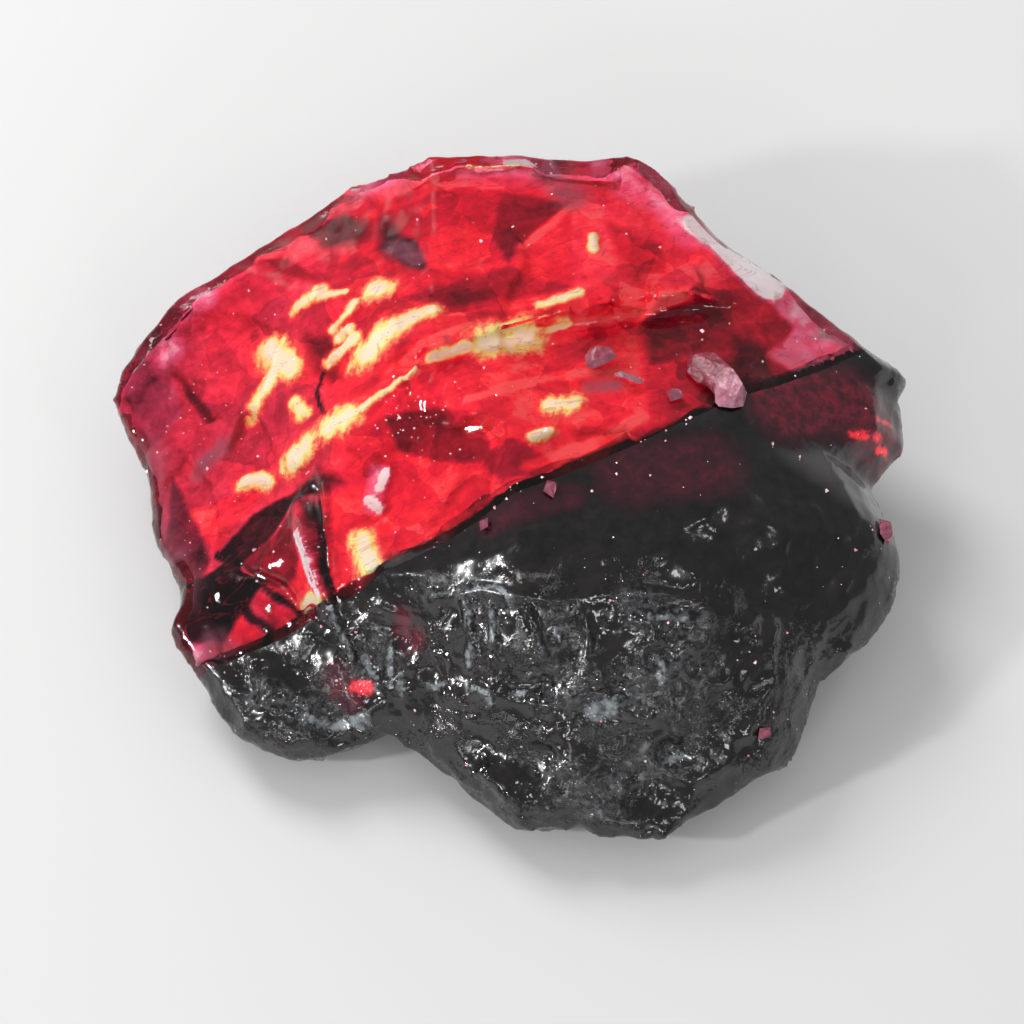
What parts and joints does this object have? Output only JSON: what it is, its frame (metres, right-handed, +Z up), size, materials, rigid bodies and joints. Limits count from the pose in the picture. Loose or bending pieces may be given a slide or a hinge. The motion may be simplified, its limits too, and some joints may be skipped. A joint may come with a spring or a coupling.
{
  "type": "raw ruby crystal",
  "caption": "Rough broken lump of clear red crystal with a dark glassy end, shell-shaped breaks and loose crumbs on top; lies free on its flat underside.",
  "frame": {"origin": "centre of the bounding box, on the ground that the lump lies on", "axes": "+X along the widest way, towards the pointed right end; +Y towards the high back; +Z up"},
  "size_m": [0.0314, 0.0266, 0.0104],
  "materials": {
    "crystal": "glassy broken surface, clear deep red with a nearly black end",
    "crumb": "pale pink glassy splinters"
  },
  "bodies": {
    "root": {"crystal": "crystal", "large_flake": "crumb", "pale_flake": "crumb", "sliver": "crumb", "grain": "crumb", "boundary_grain": "crumb", "speck": "crumb", "edge_flake": "crumb", "flank_grain": "crumb"}
  },
  "joints": []
}
